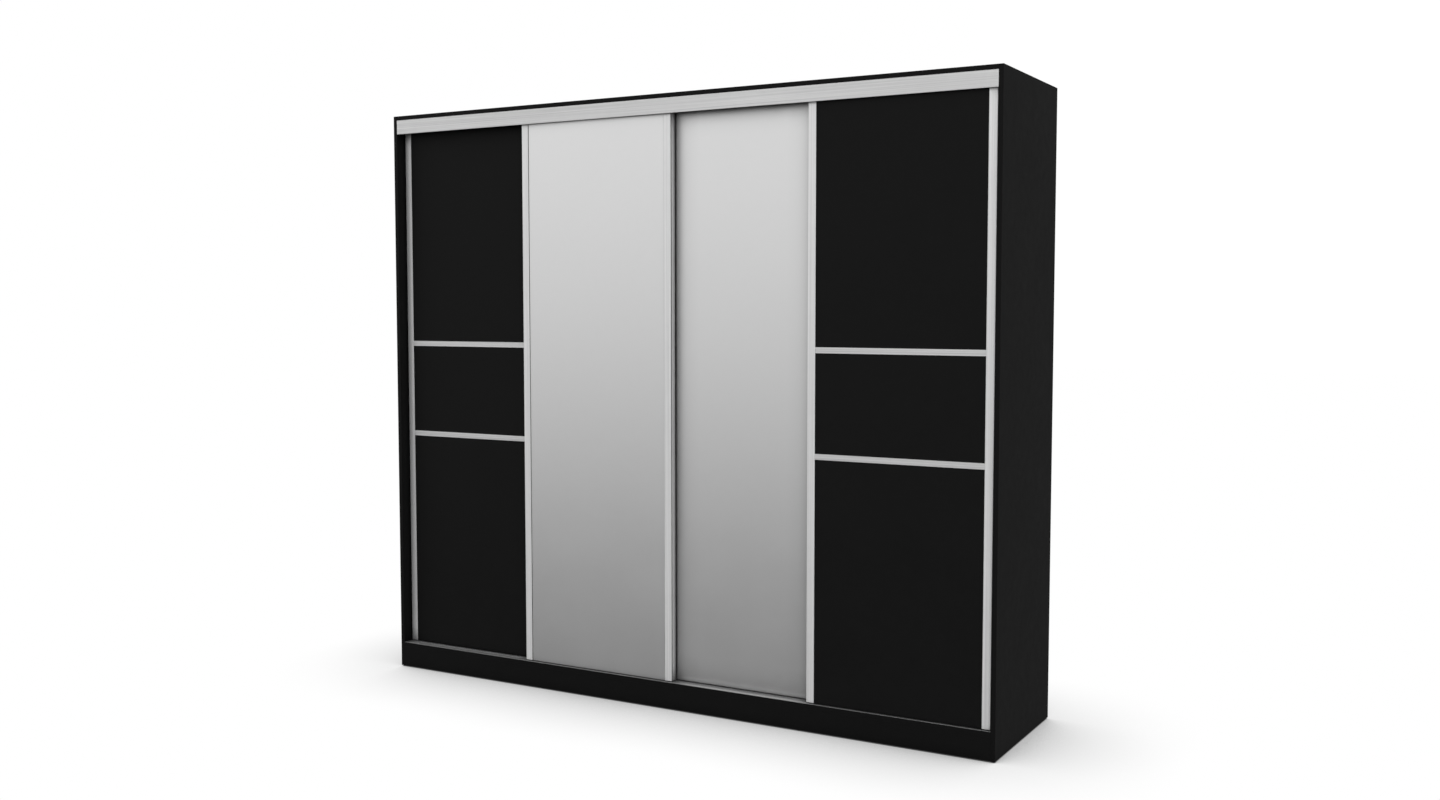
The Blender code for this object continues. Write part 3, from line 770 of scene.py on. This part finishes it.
def moulded_nylon():
    """Off-white nylon, slightly yellowed in patches, with a fine mould grain and soft gloss."""
    made, tree, shader, place = new_material("moulded_nylon")
    grain = clouds(tree, place, 1500.0, 2.0)
    tone = use_group(tree, uneven, Swing=0.12)["Factor"]
    worn = use_group(tree, edge_wear, Radius=0.0008, Amount=0.5)["Mask"]
    base = shade(tree, (0.70, 0.69, 0.63), tone)
    tree.links.new(mix_colour(tree, worn, base, (0.52, 0.50, 0.45, 1.0)), shader.inputs["Base Color"])
    tree.links.new(math_node(tree, "MULTIPLY", tone, 0.42), shader.inputs["Roughness"])
    tree.links.new(bump(tree, grain, 0.00002, 0.5), shader.inputs["Normal"])
    return made


nylon = moulded_nylon()
front_middle, rear_middle = lane_middles
front_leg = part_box("top_track")[0].y + TRACK_WALL
rear_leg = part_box("top_track")[1].y - TRACK_WALL
middle_leg = (between_lanes - TRACK_WALL / 2, between_lanes + TRACK_WALL / 2)
front_half = min(front_middle - front_leg, middle_leg[0] - front_middle)
rear_half = min(rear_middle - middle_leg[1], rear_leg - rear_middle)
lane_half = {"door_1": rear_half, "door_2": front_half, "door_3": rear_half, "door_4": front_half}
for door in doors:
    guides, heads = [], []
    for side in ("left", "right"):
        low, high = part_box(f"{door}_stile_{side}")
        centre = ((low.x + high.x) / 2, (low.y + high.y) / 2, high.z + 0.0001)
        breadth = 2 * (lane_half[door] - GUIDE_CLEARANCE)
        outline = soften(rectangle(GUIDE_LENGTH, breadth), 0.006, 7)
        stations = [(0.0, 0.97), (0.0005, 1.0), (GUIDE_THICKNESS - 0.0005, 1.0), (GUIDE_THICKNESS, 0.97)]
        guides.append(skin(carried(outline, stations, centre, "z")))
        top = (centre[0], centre[1], centre[2] + GUIDE_THICKNESS)
        heads.append(skin(turned(screw_profile, top, "z", 20)))
    add_piece(f"{door}_top_guides", guides, nylon, door)
    add_piece(f"{door}_guide_screws", heads, steel, door)

# ---------------------------------------------------------------------------------------------
# Bottom rails: galvanised channels behind the foot of each door, open below, which join its two
# stiles and carry the wheels. Each stile has a screw near its foot, into the rail, and one near its
# head, into the board or panel.
STILE_SCREW_SCALE = 0.8
STILE_SCREW_BACK = 0.002
STILE_SCREW_FROM_FOOT = 0.018
STILE_SCREW_FROM_HEAD = 0.022
finish_nodes([f"{door}_bottom_rail" for door in doors], steel)
for door in doors:
    screws = []
    for side, way in (("left", -1), ("right", 1)):
        low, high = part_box(f"{door}_stile_{side}")
        outer_x = low.x if side == "left" else high.x
        screw_y = (low.y + high.y) / 2 + STILE_SCREW_BACK
        profile = [(way * along, STILE_SCREW_SCALE * radius) for along, radius in screw_profile]
        for screw_z in (low.z + STILE_SCREW_FROM_FOOT, high.z - STILE_SCREW_FROM_HEAD):
            screws.append(skin(turned(profile, (outer_x, screw_y, screw_z), "x", 20)))
    add_piece(f"{door}_stile_screws", screws, steel, door)

# ---------------------------------------------------------------------------------------------
# Bottom wheels: turned nylon tyres with a shallow web, on a steel ball bearing whose pin goes
# through both walls of the rail.
WEB_SINK = 0.0012
HALF_RIM = 0.0035
HUB_RADIUS = 0.0055
WHEEL_PIN_RADIUS = 0.002
BEARING_FROM_PIN_END = 0.0017
for door in doors:
    for side in ("left", "right"):
        name = f"{door}_wheel_{side}"
        low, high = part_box(name)
        centre = (low + high) / 2
        radius = (high.z - low.z) / 2
        half_pin = (high.y - low.y) / 2
        web = HALF_RIM - WEB_SINK
        rim = [(web, HUB_RADIUS - 0.0003), (web, 0.0105), (HALF_RIM, 0.0115)]
        rim += [(HALF_RIM, radius - 0.0010), (HALF_RIM - 0.0004, radius - 0.0004), (HALF_RIM / 2, radius)]
        tyre = rim + [(-along, r) for along, r in reversed(rim)]
        shells = [skin(turned(tyre, centre, "y", 72), ring_round=True)]
        wheel = add_piece(f"{name}_tyre", shells, nylon, name)
        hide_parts(name)
        half = half_pin - BEARING_FROM_PIN_END
        shell = HUB_RADIUS - 0.0004
        race = [(half, WHEEL_PIN_RADIUS + 0.0006), (half, shell), (half - 0.0004, shell)]
        race += [(web - 0.0002, shell)]
        race = race + [(-along, r) for along, r in reversed(race)]
        axle = [(-half_pin, WHEEL_PIN_RADIUS - 0.0003), (-half_pin + 0.0003, WHEEL_PIN_RADIUS)]
        axle += [(half_pin - 0.0003, WHEEL_PIN_RADIUS), (half_pin, WHEEL_PIN_RADIUS - 0.0003)]
        shells = [skin(turned(race, centre, "y", 40), ring_round=True)]
        shells += [skin(turned(axle, centre, "y", 24))]
        add_piece(f"{name}_bearing", shells, steel, name)

# ---------------------------------------------------------------------------------------------
# Mirrors of the two inner doors: 4 mm silvered glass with a satin face, and behind each a plain
# fibreboard. Both slide into the grooves of the stiles.


def mirror_glass():
    """Silver seen through a lightly satined face: faint wiping marks in its gloss, and a painted shade in
    its colour near the stiles, the fascia and the track."""
    made, tree, shader, place = new_material("mirror_glass")
    tone = use_group(tree, uneven, Swing=0.02)["Factor"]
    # Painted shade: the silver's colour is darkened where the stiles, fascia and track close in round it.
    depth = use_group(tree, painted_recess_shade, Reach=0.10, Deep=0.50, Open=0.95, Least=0.48)["Factor"]
    varied = math_node(tree, "MULTIPLY", tone, depth)
    tree.links.new(shade(tree, (0.86, 0.86, 0.86), varied), shader.inputs["Base Color"])
    smears = use_group(tree, uneven, Swing=0.10)["Factor"]
    tree.links.new(math_node(tree, "MULTIPLY", smears, 0.38), shader.inputs["Roughness"])
    shader.inputs["Metallic"].default_value = 0.97
    return made


mirrors = ["door_2_mirror", "door_3_mirror"]
finish_nodes(mirrors, mirror_glass())
ease_edges(mirrors, 0.0004)


def backing_board():
    """Plain brown fibreboard: short fibres lying every way, with darker knots."""
    made, tree, shader, place = new_material("backing_board")
    fibres = clouds(tree, place, 240.0, 8.0, 0.75)
    knots = wire(tree, "ShaderNodeTexVoronoi", {"Vector": place, "Scale": 90.0})
    clouded = spread(tree, fibres, 0.0, 1.0, 0.7, 1.3)
    dark = spread(tree, knots.outputs["Distance"], 0.0, 0.2, 0.8, 1.0)
    tone = math_node(tree, "MULTIPLY", clouded, dark)
    tree.links.new(shade(tree, (0.30, 0.21, 0.13), tone), shader.inputs["Base Color"])
    shader.inputs["Roughness"].default_value = 0.8
    tree.links.new(bump(tree, fibres, 0.0001, 0.6), shader.inputs["Normal"])
    return made


backings = ["door_2_board", "door_3_board"]
finish_nodes(backings, backing_board())

# ---------------------------------------------------------------------------------------------
# Floor, light and surroundings of a plain white studio. None of it is part of the wardrobe: the
# floor is a level sheet under its feet, and the walls all round it are its only light.
FLOOR_SIZE = 60.0


def floor_plane():
    """A wide level sheet from two parameters, X and Y, both from minus half to plus half its size."""
    steps = np.linspace(-FLOOR_SIZE / 2, FLOOR_SIZE / 2, 5)
    x, y = np.meshgrid(steps, steps, indexing="ij")
    points = np.stack([x, y, np.zeros_like(x)], axis=-1).reshape(-1, 3)
    row = np.arange(4)[:, None] * 5 + np.arange(4)[None, :]
    faces = np.stack([row, row + 5, row + 6, row + 1], axis=-1).reshape(-1, 4)
    mesh = bpy.data.meshes.new("floor")
    mesh.from_pydata(points.tolist(), [], faces.tolist())
    made = bpy.data.objects.new("floor", mesh)
    scene.collection.objects.link(made)
    return made


def grey_ramp(tree, share, stops):
    """Greys along a share from 0 to 1, in straight steps from one (share, grey) stop to the next."""
    node = wire(tree, "ShaderNodeValToRGB", {"Fac": share})
    elements = node.color_ramp.elements
    while len(elements) < len(stops):
        elements.new(0.5)
    for element, (position, value) in zip(elements, stops):
        element.position = position
        element.color = (value, value, value, 1.0)
    return node.outputs["Color"]


def floor_paint():
    """White floor. For the light it throws back it is a matt grey, paler past the right-hand end; seen
    directly it glows white, with a painted shadow where the wardrobe stands close over it."""
    made = bpy.data.materials.new("floor_paint")
    made.use_nodes = True
    tree = made.node_tree
    tree.nodes.clear()
    place = wire(tree, "ShaderNodeTexCoord").outputs["Object"]
    across = wire(tree, "ShaderNodeSeparateXYZ", {0: place}).outputs["X"]
    thrown = spread(tree, across, 1.1, 1.7, 0.20, 0.50)
    matt = wire(tree, "ShaderNodeBsdfDiffuse", {"Color": thrown})
    # Painted shadow: the glow the camera sees is darkened by how much of the surroundings the wardrobe
    # hides near each point.
    near = wire(tree, "ShaderNodeAmbientOcclusion", {"Distance": 0.55}, samples=16)
    stops = [(0.0, 0.02), (0.35, 0.22), (0.50, 0.45), (0.557, 0.59), (0.614, 0.68), (0.67, 0.75)]
    stops += [(0.771, 0.84), (0.95, 0.975), (1.0, 1.0)]
    white = grey_ramp(tree, near.outputs["AO"], stops)
    shadowed_glow = wire(tree, "ShaderNodeEmission", {"Color": white, "Strength": 1.0})
    seen = wire(tree, "ShaderNodeLightPath").outputs["Is Camera Ray"]
    both = wire(tree, "ShaderNodeMixShader", {0: seen, 1: matt.outputs[0], 2: shadowed_glow.outputs[0]})
    wire(tree, "ShaderNodeOutputMaterial", {"Surface": both.outputs[0]})
    return made


floor = floor_plane()
floor.data.materials.append(floor_paint())
floor.visible_glossy = False


def studio():
    """White walls. They light the wardrobe a little more from the right, and are seen as pure white.
    In its gloss they are bright above the horizon, dim a little below it and paler underfoot, and
    the wall behind the wardrobe is dim."""
    world = bpy.data.worlds.new("studio")
    world.use_nodes = True
    tree = world.node_tree
    tree.nodes.clear()
    way = wire(tree, "ShaderNodeTexCoord").outputs["Generated"]
    parts = wire(tree, "ShaderNodeSeparateXYZ", {0: way})
    height = parts.outputs["Z"]
    path = wire(tree, "ShaderNodeLightPath").outputs
    side = spread(tree, parts.outputs["X"], -1.0, 1.0, 0.80, 1.40)
    lit = math_node(tree, "MAXIMUM", side, path["Is Camera Ray"])
    plain = wire(tree, "ShaderNodeBackground", {"Color": (1.0, 1.0, 1.0, 1.0), "Strength": lit})
    stops = [(0.30, 0.0), (0.35, 0.12), (0.40, 0.70), (0.45, 0.90), (0.62, 0.90), (1.0, 0.92)]
    horizon = grey_ramp(tree, spread(tree, height, -0.5, 0.5), stops)
    underfoot = spread(tree, height, -0.56, -0.72, 0.0, 0.60)
    front = math_node(tree, "ADD", horizon, underfoot)
    rear = spread(tree, height, -0.5, 0.3, 0.17, 0.27)
    behind = spread(tree, parts.outputs["Y"], 0.1, 0.7)
    glossy = wire(tree, "ShaderNodeBackground", {"Color": mix_colour(tree, behind, front, rear)})
    shaders = {0: path["Is Glossy Ray"], 1: plain.outputs[0], 2: glossy.outputs[0]}
    both = wire(tree, "ShaderNodeMixShader", shaders)
    wire(tree, "ShaderNodeOutputWorld", {"Surface": both.outputs[0]})
    return world


scene.world = studio()
scene.view_settings.view_transform = "Standard"
scene.view_settings.look = "None"
